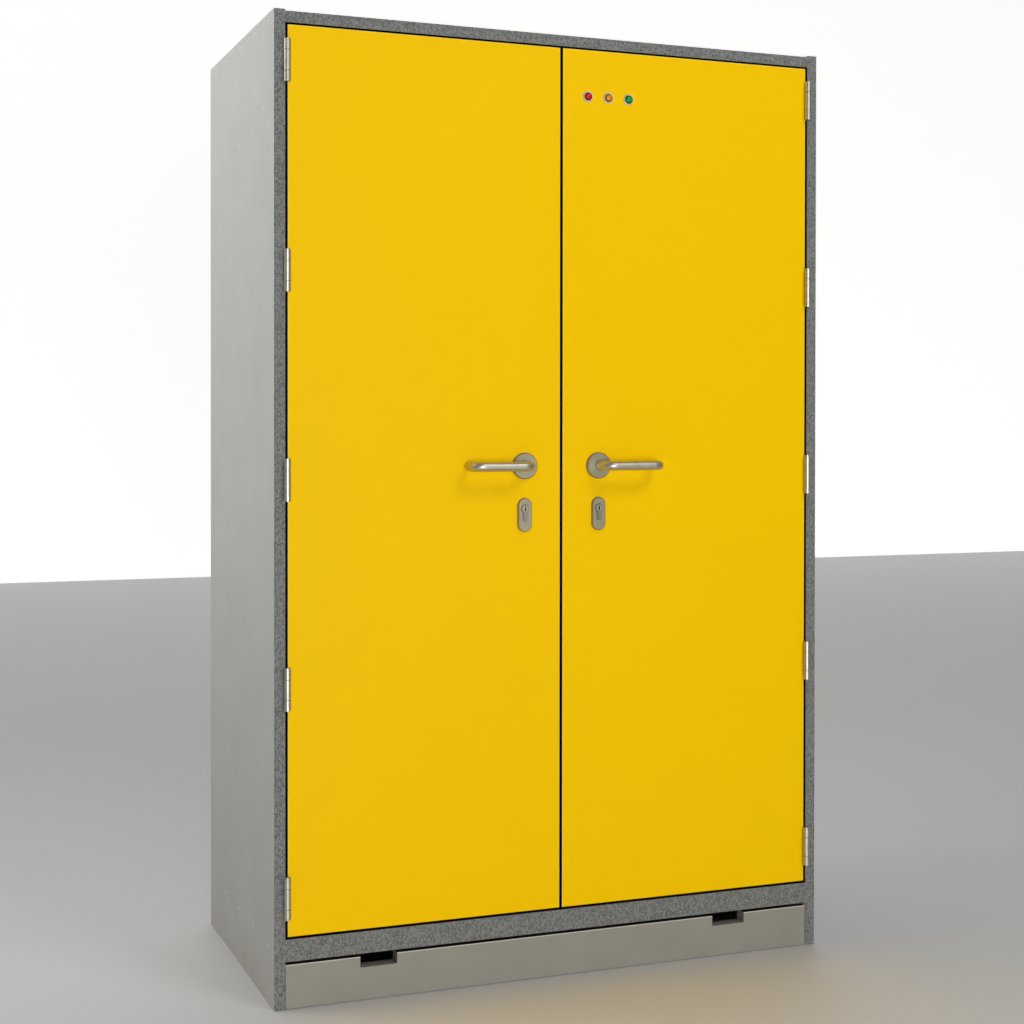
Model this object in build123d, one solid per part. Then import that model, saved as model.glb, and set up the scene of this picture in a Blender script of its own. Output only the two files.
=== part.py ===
from build123d import *

"""Fire-resistant two-door battery cabinet, in millimetres: +X right, +Y to the back, +Z up.

The origin is on the floor, in the middle of the footprint that the carcass and its lever handles take.
Boards are plain panels of fire-resistant board; the doors are inset, flush with the carcass's front.
"""

import os
from math import atan, cos, pi, radians, sin, tan

# ---------------------------------------------------------------- driving sizes
WIDTH = 1200.0
DEPTH = 620.0
HEIGHT = 1935.0

SIDE_T = 22.0  # outer side boards
TOP_T = 22.0
TOP_DROP = 3.0  # the sides stand this much above the top board
BOTTOM_T = 43.0
BACK_T = 20.0
PLINTH_SPACE = 93.0  # floor to the underside of the bottom board

LINING_T = 25.0  # inner fire board on every wall
SEAT_DEPTH = 48.0  # from the front plane to the lining's front edges
PARTITION_T = 40.0
DIVIDER_T = 22.0
SERVICE_H = 155.0  # clear height of the service compartment over the divider
COVER_T = 18.0

# doors
DOOR_SKIN_T = 20.0
DOOR_CORE_T = 25.0
HINGE_GAP = 5.0
MEETING_GAP = 6.0
DOOR_TOP_GAP = 4.0
DOOR_FOOT_GAP = 5.0
DOOR_EDGE_R = 1.5

# hinges
HINGE_COUNT = 5
HINGE_H = 81.0
HINGE_INSET = 76.5  # from the door's foot to the lowest hinge's middle
HINGE_TOP_INSET = 70.9
KNUCKLE_R = 7.0
KNUCKLE_PLAY = 0.9
PIN_R = 3.0
PIN_PLAY = 0.05
LEAF_T = 2.0
LEAF_W = 38.0
AXIS_PROUD = 7.4  # hinge axis in front of the front plane

# lock, lever and cylinder
BACKSET = 79.0
LEVER_Z = 1050.0
CYLINDER_DROP = 87.5
LEVER_R = 9.5
LEVER_REACH = 60.0
LEVER_LENGTH = 132.0
LEVER_RETURN_CLEAR = 14.0
LEVER_BEND_R = 18.0
LEVER_COLLAR_GAP = 0.5
ROSETTE_R = 27.0
ROSETTE_T = 8.0
SPINDLE = 8.0
SPINDLE_IN_LEVER = 25.0
ESCUTCHEON_W = 30.0
ESCUTCHEON_H = 69.0
ESCUTCHEON_T = 7.0
ESCUTCHEON_DROP = 12.0  # its middle below the cylinder's axis
CYLINDER_R = 8.5
CYLINDER_H = 33.0
CYLINDER_TAIL_W = 10.0
CYLINDER_PROUD = 1.5
CYLINDER_GAP = 0.7  # round it, in the escutcheon
PLUG_R = 6.5
PLUG_PLAY = 0.08
CAM_R = 14.0
CAM_T = 9.0
CAM_W = 7.0
KEYWAY_W = 2.2
KEYWAY_H = 8.0
KEYWAY_DEPTH = 20.0

CASE_T = 18.0
CASE_HALF_W = 36.0
CASE_ABOVE = 62.0
CASE_BELOW = 135.0
CASE_WALL = 1.5
POCKET_PLAY = 1.0

# pinion and racks that throw the rods
GEAR_MODULE = 2.5
GEAR_TEETH = 16
GEAR_T = 8.0
GEAR_ADDENDUM = 2.2
GEAR_DEDENDUM = 3.0
GEAR_BACKLASH = 0.35
PRESSURE_ANGLE = 20.0
RACK_TEETH = 8
RACK_BACK_T = 6.0
ROD_R = 5.0
GUIDE_PLAY = 0.08  # rods and hubs in the lock case's holes
BORE_GAP = 0.4  # parts that pass without touching
ROD_GROOVE_W = 14.0
ROD_SHY = 1.0  # withdrawn rod ends short of the door's end by this
ROD_THROW_ANGLE = 45.0  # the lever's lift, in degrees, that throws the rods
KEEP_W = 30.0
KEEP_L = 62.0
KEEP_T = 2.5
KEEP_HOLE_R = 9.0

# indicators
LAMP_X = 55.0  # first lamp from the door's free edge
LAMP_PITCH = 46.0
LAMP_DROP = 96.0  # below the door's top
BEZEL_R = 11.5
BEZEL_T = 3.0
LENS_R = 8.8
LENS_RISE = 4.0
LAMP_BODY_R = 7.9
LAMP_BODY_L = 23.0
LAMP_PLAY = 0.3
LAMP_POCKET_R = 13.0

# plinth
PLINTH_T = 30.0
PLINTH_FLOOR_GAP = 1.0
PLINTH_TOP_GAP = 6.5
PLINTH_SIDE_GAP = 1.0
PLINTH_RECESS = 1.5
NOTCH_W = 76.0
NOTCH_H = 21.5
NOTCH_X = 389.0
RUNNER_T = 40.0
RUNNER_SETBACK = 6.0  # clips stand between the plinth board and the runners

# fittings inside
SHELF_COUNT = 3
SHELF_FIRST_Z = 560.0
SHELF_PITCH = 350.0
SHEET_T = 1.5
SHELF_FOLD = 30.0
SHELF_SIDE_GAP = 4.0
SHELF_BACK_GAP = 10.0  # cable space in front of the socket strips
UPRIGHT_W = 25.0
UPRIGHT_T = 10.0
UPRIGHT_FROM_FRONT = 40.0
UPRIGHT_FROM_BACK = 95.0
CLIP_H = 30.0
TRAY_H = 70.0
TRAY_GAP = 6.0
STRIP_W = 46.0
STRIP_T = 44.0
STRIP_L = 430.0
STRIP_Z = 1180.0
SOCKET_COUNT = 5
SOCKET_PITCH = 62.0
SOCKET_R = 19.5
SOCKET_DEPTH = 14.0
ROCKER_W = 20.0
ROCKER_H = 28.0
ROCKER_R = 13.0
ROCKER_PLAY = 0.4
ROCKER_SINK = 5.0  # its pivot behind the strip's face
ROCKER_TILT = 8.0  # degrees from level, off at rest
ROCKER_PIVOT_R = 1.5
PIVOT_PLAY = 0.05
GLAND_R = 10.0
GLAND_BORE_R = 6.5
GLAND_FROM_SIDE = 170.0
GLAND_OVER_DIVIDER = 80.0
GLAND_OUT = 18.0
GLAND_IN = 6.0
GLAND_NUT_R = 15.0
GLAND_NUT_T = 7.0
UNIT_W = 260.0
UNIT_T = 70.0
UNIT_H = 115.0
UNIT_OVER_DIVIDER = 20.0
UNIT_EDGE_R = 6.0
DETECTOR_R = 50.0
DETECTOR_H = 42.0
DETECTOR_BASE_T = 12.0
DETECTOR_FROM_MIDDLE = 130.0
DETECTOR_BEHIND_SEAT = 210.0
DUCT_R = 37.5
DUCT_WALL = 1.5
DUCT_RISE = 45.0
DUCT_X = 290.0
DUCT_FROM_BACK = 130.0
DUCT_PLAY = 0.5
FLANGE_R = 55.0
FLANGE_T = 2.5

# ---------------------------------------------------------------- places worked out from them
FRONT = (LEVER_REACH - DEPTH) / 2
BACK = FRONT + DEPTH
SIDE_IN = WIDTH / 2 - SIDE_T
TOP_Z = HEIGHT - TOP_DROP
CEILING_Z = TOP_Z - TOP_T
FLOOR_Z = PLINTH_SPACE + BOTTOM_T
SEAT_Y = FRONT + SEAT_DEPTH
LINING_IN = SIDE_IN - LINING_T
LINING_BACK_Y = BACK - BACK_T - LINING_T
LINING_TOP_Z = CEILING_Z - LINING_T
LINING_FLOOR_Z = FLOOR_Z + LINING_T
DIVIDER_TOP_Z = LINING_TOP_Z - SERVICE_H
DIVIDER_Z = DIVIDER_TOP_Z - DIVIDER_T

DOOR_FREE = MEETING_GAP / 2
DOOR_HUNG = SIDE_IN - HINGE_GAP
DOOR_TOP = CEILING_Z - DOOR_TOP_GAP
DOOR_FOOT = FLOOR_Z + DOOR_FOOT_GAP
DOOR_T = DOOR_SKIN_T + DOOR_CORE_T
CORE_Y = FRONT + DOOR_SKIN_T
DOOR_BACK_Y = FRONT + DOOR_T

HINGE_X = SIDE_IN - HINGE_GAP / 2
HINGE_Y = FRONT - AXIS_PROUD
HINGE_PITCH = (DOOR_TOP - HINGE_TOP_INSET - DOOR_FOOT - HINGE_INSET) / (HINGE_COUNT - 1)
HINGE_ZS = [DOOR_FOOT + HINGE_INSET + i * HINGE_PITCH for i in range(HINGE_COUNT)]

LEVER_X = DOOR_FREE + BACKSET
CYLINDER_Z = LEVER_Z - CYLINDER_DROP
BAR_Y = FRONT - LEVER_REACH + LEVER_R

GEAR_R = GEAR_MODULE * GEAR_TEETH / 2
TOOTH_PITCH = pi * GEAR_MODULE
CASE_Y = CORE_Y + POCKET_PLAY
CASE_MID_Y = CASE_Y + CASE_T / 2
RACK_BACK_X = GEAR_R + GEAR_DEDENDUM  # tooth roots, from the gear's axis
ROD_OFFSET = RACK_BACK_X + RACK_BACK_T / 2

HALF_PARTITION = PARTITION_T / 2
SHELF_ZS = [SHELF_FIRST_Z + i * SHELF_PITCH for i in range(SHELF_COUNT)]
DUCT_Y = BACK - DUCT_FROM_BACK
LAMP_Z = DOOR_TOP - LAMP_DROP
LAMP_XS = [DOOR_FREE + LAMP_X + i * LAMP_PITCH for i in range(3)]

SIDES = {"left": -1, "right": 1}


# ---------------------------------------------------------------- small helpers
def block(x0, x1, y0, y1, z0, z1):
    """A box between two opposite corners."""
    middle = ((x0 + x1) / 2, (y0 + y1) / 2, (z0 + z1) / 2)
    return Pos(*middle) * Box(abs(x1 - x0), abs(y1 - y0), abs(z1 - z0))


def rod_along_y(radius, x, z, y0, y1):
    """A round bar along Y."""
    return Pos(x, (y0 + y1) / 2, z) * Rot(90, 0, 0) * Cylinder(radius, abs(y1 - y0))


def rod_along_z(radius, x, y, z0, z1):
    """A round bar along Z."""
    return Pos(x, y, (z0 + z1) / 2) * Cylinder(radius, abs(z1 - z0))


def facing_front(x, y, z):
    """A plane whose normal points to the front, with its own x along +X and y along +Z."""
    return Plane(origin=(x, y, z), x_dir=(1, 0, 0), z_dir=(0, -1, 0))


def on_side(shape, sign):
    """A shape drawn for the right-hand side, mirrored over for the left."""
    return shape if sign > 0 else mirror(shape, about=Plane.YZ)


def save(name, *solids):
    """One STEP file for a node of one or more solids."""
    flat = [s for solid in solids for s in solid.solids()]
    shape = flat[0] if len(flat) == 1 else Compound(children=flat)
    shape.label = name
    export_step(shape, f"parts/{name}.step")


# ---------------------------------------------------------------- carcass boards
def side_board():
    return block(SIDE_IN, WIDTH / 2, FRONT, BACK, 0, HEIGHT)


def keep_cut(z, sign):
    """What a rod keep needs out of a board: a flush seat for its plate and the rod's blind hole."""
    x = rod_x(sign)
    y = CASE_MID_Y
    seat = block(x - KEEP_L / 2, x + KEEP_L / 2, y - KEEP_W / 2, y + KEEP_W / 2, z, z + sign * KEEP_T)
    hole = rod_along_z(KEEP_HOLE_R, x, y, z, z + sign * keep_depth())
    return seat + hole


def rod_throw():
    return radians(ROD_THROW_ANGLE) * GEAR_R


def keep_depth():
    """Room for the thrown rod's end past the board's face."""
    return rod_throw() - ROD_SHY - min(DOOR_TOP_GAP, DOOR_FOOT_GAP) + 3.0


def rod_x(end):
    """Where the rod to the top (end +1) or to the foot (end -1) runs, on the right-hand door."""
    return LEVER_X + end * ROD_OFFSET


def duct_hole(z0, z1, sign):
    return rod_along_z(DUCT_R + DUCT_PLAY, sign * DUCT_X, DUCT_Y, z0, z1)


def top_board():
    board = block(-SIDE_IN, SIDE_IN, FRONT, BACK - BACK_T, CEILING_Z, TOP_Z)
    for sign in SIDES.values():
        board -= on_side(keep_cut(CEILING_Z, 1), sign)
        board -= duct_hole(CEILING_Z, TOP_Z, sign)
    return board


def bottom_board():
    board = block(-SIDE_IN, SIDE_IN, FRONT, BACK - BACK_T, PLINTH_SPACE, FLOOR_Z)
    for sign in SIDES.values():
        board -= on_side(keep_cut(FLOOR_Z, -1), sign)
    return board


def back_board():
    return block(-SIDE_IN, SIDE_IN, BACK - BACK_T, BACK, 0, TOP_Z)


def keeps():
    """Plates that the rods shoot through, flush in the top and bottom boards."""
    plates = []
    for sign in SIDES.values():
        for end, z in ((1, CEILING_Z), (-1, FLOOR_Z)):
            x, y = rod_x(end), CASE_MID_Y
            z1 = z + end * KEEP_T
            plate = block(x - KEEP_L / 2, x + KEEP_L / 2, y - KEEP_W / 2, y + KEEP_W / 2, z, z1)
            plate -= rod_along_z(KEEP_HOLE_R, x, y, z, z1)
            plates.append(on_side(plate, sign))
    return plates


# ---------------------------------------------------------------- screws through the side boards
SCREW_HEAD_R = 3.6
SCREW_HEAD_T = 3.0
SCREW_R = 1.9
SCREW_L = 37.0
TOP_ROW = ((50, 170, 307), (169, 30))  # screws behind the front, then screws before the back
DIVIDER_ROW = ((52, 186, 320), (167, 30))
BOTTOM_ROW = ((53, 185, 324), (163, 30))
STRAY_FRONT = ((88, 175), (171, 125), (87, 34))  # (behind the front, under the top board's top)
STRAY_BACK = ((134, 122), (9, 57))  # (before the back, under the top board's top)


def screw_places():
    """(y, z) of every screw in a side board."""
    rows = (
        (TOP_ROW, TOP_Z - TOP_T / 2),
        (DIVIDER_ROW, DIVIDER_Z + DIVIDER_T / 2),
        (BOTTOM_ROW, FLOOR_Z - BOTTOM_T / 2),
    )
    places = []
    for (behind_front, before_back), z in rows:
        places += [(FRONT + y, z) for y in behind_front] + [(BACK - y, z) for y in before_back]
    places += [(FRONT + y, TOP_Z - drop) for y, drop in STRAY_FRONT]
    return places + [(BACK - y, TOP_Z - drop) for y, drop in STRAY_BACK]


def screws():
    """Flush countersunk screws, head outwards."""
    outline = Polyline(
        (0, 0), (SCREW_HEAD_R, 0), (SCREW_R, -SCREW_HEAD_T), (SCREW_R, -SCREW_L), (0, -SCREW_L), close=True
    )
    one = Rot(0, 90, 0) * revolve(Plane.XZ * make_face(outline), axis=Axis.Z)
    return [Pos(WIDTH / 2, y, z) * one for y, z in screw_places()]


def drilled(board):
    """A board with the holes of every screw that reaches it, on both sides of the cabinet."""
    box = board.bounding_box()
    for screw in screws():
        for sign in SIDES.values():
            tool = on_side(screw, sign)
            reach = tool.bounding_box()
            overlap_low = [max(a, b) for a, b in zip(reach.min, box.min)]
            overlap_high = [min(a, b) for a, b in zip(reach.max, box.max)]
            if all(low < high for low, high in zip(overlap_low, overlap_high)):
                board -= tool
    return board


# ---------------------------------------------------------------- lining and partitions
def lining_side():
    return block(LINING_IN, SIDE_IN, SEAT_Y, BACK - BACK_T, FLOOR_Z, CEILING_Z)


def lining_top():
    board = block(-LINING_IN, LINING_IN, SEAT_Y, BACK - BACK_T, LINING_TOP_Z, CEILING_Z)
    for sign in SIDES.values():
        board -= duct_hole(LINING_TOP_Z, CEILING_Z, sign)
    return board


def lining_floor():
    return block(-LINING_IN, LINING_IN, SEAT_Y, BACK - BACK_T, FLOOR_Z, LINING_FLOOR_Z)


def lining_back():
    return block(-LINING_IN, LINING_IN, LINING_BACK_Y, BACK - BACK_T, LINING_FLOOR_Z, LINING_TOP_Z)


def divider():
    board = block(-LINING_IN, LINING_IN, SEAT_Y, LINING_BACK_Y, DIVIDER_Z, DIVIDER_TOP_Z)
    for sign in SIDES.values():
        board -= duct_hole(DIVIDER_Z, DIVIDER_TOP_Z, sign)
    return board


def centre_partition():
    return block(-HALF_PARTITION, HALF_PARTITION, SEAT_Y, LINING_BACK_Y, LINING_FLOOR_Z, DIVIDER_Z)


def service_cover():
    """Board that closes the service compartment behind the doors."""
    return block(-LINING_IN, LINING_IN, SEAT_Y, SEAT_Y + COVER_T, DIVIDER_TOP_Z, LINING_TOP_Z)


SEAL_W = 12.0
SEAL_T = 2.5
SEAL_INSET = 5.0  # from the door's edge


def door_seal():
    """Flat rectangular seal on the lining's front edges, behind the door's rim."""
    x0, x1 = DOOR_FREE + SEAL_INSET, DOOR_HUNG - SEAL_INSET
    z0, z1 = DOOR_FOOT + SEAL_INSET, DOOR_TOP - SEAL_INSET
    ring = block(x0, x1, SEAT_Y - SEAL_T, SEAT_Y, z0, z1)
    return ring - block(x0 + SEAL_W, x1 - SEAL_W, SEAT_Y - SEAL_T, SEAT_Y, z0 + SEAL_W, z1 - SEAL_W)


# ---------------------------------------------------------------- plinth
def runners():
    """Boards on edge that carry the bottom board; the lanes between them take a pallet truck's forks."""
    y0 = FRONT + PLINTH_RECESS + PLINTH_T + RUNNER_SETBACK
    y1 = BACK - BACK_T
    side = block(SIDE_IN - RUNNER_T, SIDE_IN, y0, y1, 0, PLINTH_SPACE)
    middle = block(-RUNNER_T / 2, RUNNER_T / 2, y0, y1, 0, PLINTH_SPACE)
    return [side, middle, mirror(side, about=Plane.YZ)]


def plinth_board():
    """Pull-off front board with two finger notches in its upper edge."""
    half = SIDE_IN - PLINTH_SIDE_GAP
    y0 = FRONT + PLINTH_RECESS
    top = PLINTH_SPACE - PLINTH_TOP_GAP
    board = block(-half, half, y0, y0 + PLINTH_T, PLINTH_FLOOR_GAP, top)
    for sign in SIDES.values():
        x = sign * NOTCH_X
        board -= block(x - NOTCH_W / 2, x + NOTCH_W / 2, y0, y0 + PLINTH_T, top - NOTCH_H, top)
    return board


def plinth_clips():
    """Magnet blocks on the runners that hold the plinth board."""
    y0 = FRONT + PLINTH_RECESS + PLINTH_T
    height = 34.0
    half_w = 12.0
    blocks = []
    for x in (-(SIDE_IN - RUNNER_T / 2), 0, SIDE_IN - RUNNER_T / 2):
        blocks.append(block(x - half_w, x + half_w, y0, y0 + RUNNER_SETBACK, 20, 20 + height))
    return blocks


# ---------------------------------------------------------------- hinges
def knuckle(z0, z1, bore):
    return rod_along_z(KNUCKLE_R, HINGE_X, HINGE_Y, z0, z1) - rod_along_z(bore, HINGE_X, HINGE_Y, z0, z1)


def hinge_spans(z):
    """Where the lower, middle and upper knuckles of a hinge start and end."""
    low, high, quarter = z - HINGE_H / 2, z + HINGE_H / 2, HINGE_H / 4
    return (
        (low, low + quarter),
        (low + quarter + KNUCKLE_PLAY, high - quarter - KNUCKLE_PLAY),
        (high - quarter, high),
    )


def leaf_plate(inner, z0, z1):
    """A leaf from the barrel into the gap: on the door's edge (inner) or on the side board."""
    x0 = DOOR_HUNG if inner else SIDE_IN - LEAF_T
    plate = block(x0, x0 + LEAF_T, HINGE_Y, FRONT + LEAF_W, z0, z1)
    return plate - rod_along_z(KNUCKLE_R, HINGE_X, HINGE_Y, z0, z1)


def frame_leaf(z):
    lower, _, upper = hinge_spans(z)
    plate = block(SIDE_IN - LEAF_T, SIDE_IN, FRONT, FRONT + LEAF_W, lower[0], upper[1])
    parts = plate
    for span in (lower, upper):
        parts += knuckle(*span, PIN_R) + leaf_plate(False, *span)
    return parts


def door_leaf(z):
    middle = hinge_spans(z)[1]
    plate = block(DOOR_HUNG, DOOR_HUNG + LEAF_T, FRONT, FRONT + LEAF_W, z - HINGE_H / 2, z + HINGE_H / 2)
    return plate + knuckle(*middle, PIN_R + PIN_PLAY) + leaf_plate(True, *middle)


def hinge_pin(z):
    """Pin with a low rounded head over the upper knuckle."""
    head = Pos(HINGE_X, HINGE_Y, z + HINGE_H / 2 + 0.75) * Cylinder(KNUCKLE_R - 1, 1.5)
    return rod_along_z(PIN_R, HINGE_X, HINGE_Y, z - HINGE_H / 2, z + HINGE_H / 2) + head


# ---------------------------------------------------------------- doors
def euro_profile(grow=0.0):
    """Face of a profile cylinder: a round head and a narrower round-ended tail below it."""
    tail_r = CYLINDER_TAIL_W / 2
    tail_len = CYLINDER_H - CYLINDER_R - tail_r
    head = Circle(CYLINDER_R + grow)
    tail = Pos(0, -tail_len / 2) * Rectangle(CYLINDER_TAIL_W + 2 * grow, tail_len)
    end = Pos(0, -tail_len) * Circle(tail_r + grow)
    return head + tail + end


def cylinder_prism(y0, y1, grow=0.0):
    """The profile at the cylinder's place, from y0 (front) back to y1."""
    face = facing_front(LEVER_X, y1, CYLINDER_Z) * euro_profile(grow)
    return extrude(face, amount=y1 - y0)


def door_skin(with_lamps):
    """Coated front board of a door, with its edges eased."""
    board = block(DOOR_FREE, DOOR_HUNG, FRONT, CORE_Y, DOOR_FOOT, DOOR_TOP)
    rim = board.faces().sort_by(Axis.Y)[0].edges()
    board = fillet(rim, DOOR_EDGE_R)
    board -= rod_along_y(LEVER_R + BORE_GAP, LEVER_X, LEVER_Z, FRONT, CORE_Y)
    board -= cylinder_prism(FRONT, CORE_Y, grow=POCKET_PLAY)
    if with_lamps:
        for x in LAMP_XS:
            board -= rod_along_y(LAMP_BODY_R + LAMP_PLAY, x, LAMP_Z, FRONT, CORE_Y)
    return board


def case_box(grow=0.0):
    return block(
        LEVER_X - CASE_HALF_W - grow,
        LEVER_X + CASE_HALF_W + grow,
        CORE_Y if grow else CASE_Y,
        CASE_Y + CASE_T + grow,
        LEVER_Z - CASE_BELOW - grow,
        LEVER_Z + CASE_ABOVE + grow,
    )


def door_core(with_lamps):
    """Inner board of a door, with the lock pocket and the rods' grooves."""
    board = block(DOOR_FREE, DOOR_HUNG, CORE_Y, DOOR_BACK_Y, DOOR_FOOT, DOOR_TOP)
    board -= case_box(grow=POCKET_PLAY)
    half = ROD_GROOVE_W / 2
    groove_back = CASE_MID_Y + half
    for end, z in ((1, DOOR_TOP), (-1, DOOR_FOOT)):
        board -= block(rod_x(end) - half, rod_x(end) + half, CORE_Y, groove_back, LEVER_Z, z)
    if with_lamps:
        for x in LAMP_XS:
            board -= rod_along_y(LAMP_POCKET_R, x, LAMP_Z, CORE_Y, FRONT + LAMP_BODY_L + 2)
    return board


# ---------------------------------------------------------------- lock
def lock_case():
    """Sheet-steel case: closed on its faces and sides, open where the rods leave it."""
    outer = case_box()
    inner = block(
        LEVER_X - CASE_HALF_W + CASE_WALL,
        LEVER_X + CASE_HALF_W - CASE_WALL,
        CASE_Y + CASE_WALL,
        CASE_Y + CASE_T - CASE_WALL,
        LEVER_Z - CASE_BELOW + CASE_WALL,
        LEVER_Z + CASE_ABOVE - CASE_WALL,
    )
    case = outer - inner
    for end, z in ((1, LEVER_Z + CASE_ABOVE), (-1, LEVER_Z - CASE_BELOW)):
        case -= rod_along_z(ROD_R + GUIDE_PLAY, rod_x(end), CASE_MID_Y, z - CASE_WALL, z + CASE_WALL)
    hub_r = SPINDLE * 0.75 + GUIDE_PLAY
    case -= rod_along_y(hub_r, LEVER_X, LEVER_Z, CASE_Y, CASE_Y + CASE_WALL)
    return case - cylinder_prism(CASE_Y, CASE_Y + CASE_WALL)


def gear_outline():
    """Involute pinion, one tooth centred on its own x axis."""
    base_r = GEAR_R * cos(radians(PRESSURE_ANGLE))
    tip_r, root_r = GEAR_R + GEAR_ADDENDUM, GEAR_R - GEAR_DEDENDUM

    def unwound(radius):
        """Polar angle of the involute at a radius, from where it leaves the base circle."""
        t = (max(radius / base_r, 1.0) ** 2 - 1) ** 0.5
        return t - atan(t)

    half_tooth = (TOOTH_PITCH - GEAR_BACKLASH) / (4 * GEAR_R)
    at_base = half_tooth + unwound(GEAR_R)
    flank = [(root_r, at_base)]
    for radius in (base_r, GEAR_R, tip_r):
        flank.append((radius, at_base - unwound(radius)))
    points = []
    for tooth in range(GEAR_TEETH):
        middle = 2 * pi * tooth / GEAR_TEETH
        for radius, angle in flank:
            points.append((radius * cos(middle - angle), radius * sin(middle - angle)))
        for radius, angle in reversed(flank):
            points.append((radius * cos(middle + angle), radius * sin(middle + angle)))
    return make_face(Polyline(*points, close=True))


def rack_outline():
    """Rack of straight-sided teeth facing the pinion, gap centred on the pinion's axis; x from that axis."""
    slope = tan(radians(PRESSURE_ANGLE))
    half = (TOOTH_PITCH - GEAR_BACKLASH) / 4
    tip_x, root_x = GEAR_R - GEAR_ADDENDUM, RACK_BACK_X
    tip_half = half - GEAR_ADDENDUM * slope
    root_half = half + GEAR_DEDENDUM * slope
    span = RACK_TEETH * TOOTH_PITCH / 2
    back_x = RACK_BACK_X + RACK_BACK_T
    points = [(back_x, -span), (root_x, -span)]
    for i in range(RACK_TEETH):
        z = (i - (RACK_TEETH - 1) / 2) * TOOTH_PITCH
        points += [(root_x, z - root_half), (tip_x, z - tip_half)]
        points += [(tip_x, z + tip_half), (root_x, z + root_half)]
    points += [(root_x, span), (back_x, span)]
    return make_face(Polyline(*points, close=True))


def spindle_bar(y1):
    """Square bar on the lever's axis, from inside the lever back to y1."""
    x, z, half = LEVER_X, LEVER_Z, SPINDLE / 2
    return block(x - half, x + half, FRONT - SPINDLE_IN_LEVER, y1, z - half, z + half)


def lever_gear():
    """Square spindle with the pinion on it, and the round hubs that turn in the lock case."""
    y0, y1 = CASE_MID_Y - GEAR_T / 2, CASE_MID_Y + GEAR_T / 2
    pinion = extrude(facing_front(LEVER_X, y1, LEVER_Z) * gear_outline(), amount=GEAR_T)
    spindle = spindle_bar(y0)
    hub = rod_along_y(SPINDLE * 0.75, LEVER_X, LEVER_Z, CASE_Y, y0)
    return pinion + hub + spindle


def lock_rod(end):
    """Rod with its rack: to the door's top (end +1) or its foot (end -1)."""
    face = facing_front(LEVER_X, CASE_MID_Y + GEAR_T / 2, LEVER_Z) * rack_outline()
    rack = extrude(face, amount=GEAR_T)
    reach = (DOOR_TOP - LEVER_Z) if end > 0 else (LEVER_Z - DOOR_FOOT)
    start = RACK_TEETH * TOOTH_PITCH / 2 - 2
    bar = rod_along_z(ROD_R, LEVER_X + ROD_OFFSET, CASE_MID_Y, LEVER_Z + start, LEVER_Z + reach - ROD_SHY)
    whole = rack + bar
    if end > 0:
        return whole
    return Pos(LEVER_X, 0, LEVER_Z) * Rot(0, 180, 0) * Pos(-LEVER_X, 0, -LEVER_Z) * whole


def cylinder_body():
    """Half cylinder: the profile's body, bored for the plug."""
    y1 = CASE_Y + CASE_WALL + 2
    y0 = FRONT - ESCUTCHEON_T - CYLINDER_PROUD
    bore = rod_along_y(PLUG_R + PLUG_PLAY, LEVER_X, CYLINDER_Z, y0, y1)
    return cylinder_prism(y0, y1) - bore


def cylinder_plug():
    """Turning plug with its keyway in front and the cam behind the body."""
    y0 = FRONT - ESCUTCHEON_T - CYLINDER_PROUD
    body_end = CASE_Y + CASE_WALL + 2
    cam_y = body_end + BORE_GAP
    plug = rod_along_y(PLUG_R, LEVER_X, CYLINDER_Z, y0, cam_y + CAM_T)
    keyway = block(
        LEVER_X - KEYWAY_W / 2,
        LEVER_X + KEYWAY_W / 2,
        y0,
        y0 + KEYWAY_DEPTH,
        CYLINDER_Z - KEYWAY_H / 2,
        CYLINDER_Z + KEYWAY_H / 2,
    )
    cam = block(
        LEVER_X - CAM_W / 2, LEVER_X + CAM_W / 2, cam_y, cam_y + CAM_T, CYLINDER_Z - CAM_R, CYLINDER_Z
    )
    return plug + cam - keyway


# ---------------------------------------------------------------- handle set
def lever():
    """Round bar bent into a U: neck, grip towards the hinges, and an end turned back to the door."""
    end_x = LEVER_X + LEVER_LENGTH - LEVER_R
    start = (LEVER_X, FRONT - LEVER_COLLAR_GAP, LEVER_Z)
    points = [
        start,
        (LEVER_X, BAR_Y, LEVER_Z),
        (end_x, BAR_Y, LEVER_Z),
        (end_x, FRONT - LEVER_RETURN_CLEAR, LEVER_Z),
    ]
    path = FilletPolyline(*points, radius=LEVER_BEND_R)
    bar = sweep(facing_front(*start) * Circle(LEVER_R), path=path)
    tip = bar.faces().filter_by(GeomType.PLANE).sort_by(Axis.X)[-1]
    bar = fillet(tip.edges(), LEVER_R * 0.3)
    return bar - spindle_bar(FRONT)


def rosette():
    """Round cover plate, slightly domed, with a collar bore for the lever's neck."""
    bore = LEVER_R + BORE_GAP
    outer, top, bevel = ROSETTE_R, ROSETTE_T, 2
    with_rim = Polyline(
        (bore, 0), (outer, 0), (outer, top - bevel), (outer - bevel, top), (bore, top), close=True
    )
    turned = revolve(Plane.XZ * make_face(with_rim), axis=Axis.Z)
    return Pos(LEVER_X, FRONT, LEVER_Z) * Rot(90, 0, 0) * turned


def escutcheon():
    """Long plate with round ends and the cylinder's outline through it."""
    z = CYLINDER_Z - ESCUTCHEON_DROP
    face = facing_front(LEVER_X, FRONT, z) * (Rot(0, 0, 90) * SlotOverall(ESCUTCHEON_H, ESCUTCHEON_W))
    plate = extrude(face, amount=ESCUTCHEON_T)
    rim = plate.faces().sort_by(Axis.Y)[0].edges()
    plate = chamfer(rim, 1.5)
    return plate - cylinder_prism(FRONT - ESCUTCHEON_T, FRONT, grow=CYLINDER_GAP)


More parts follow.
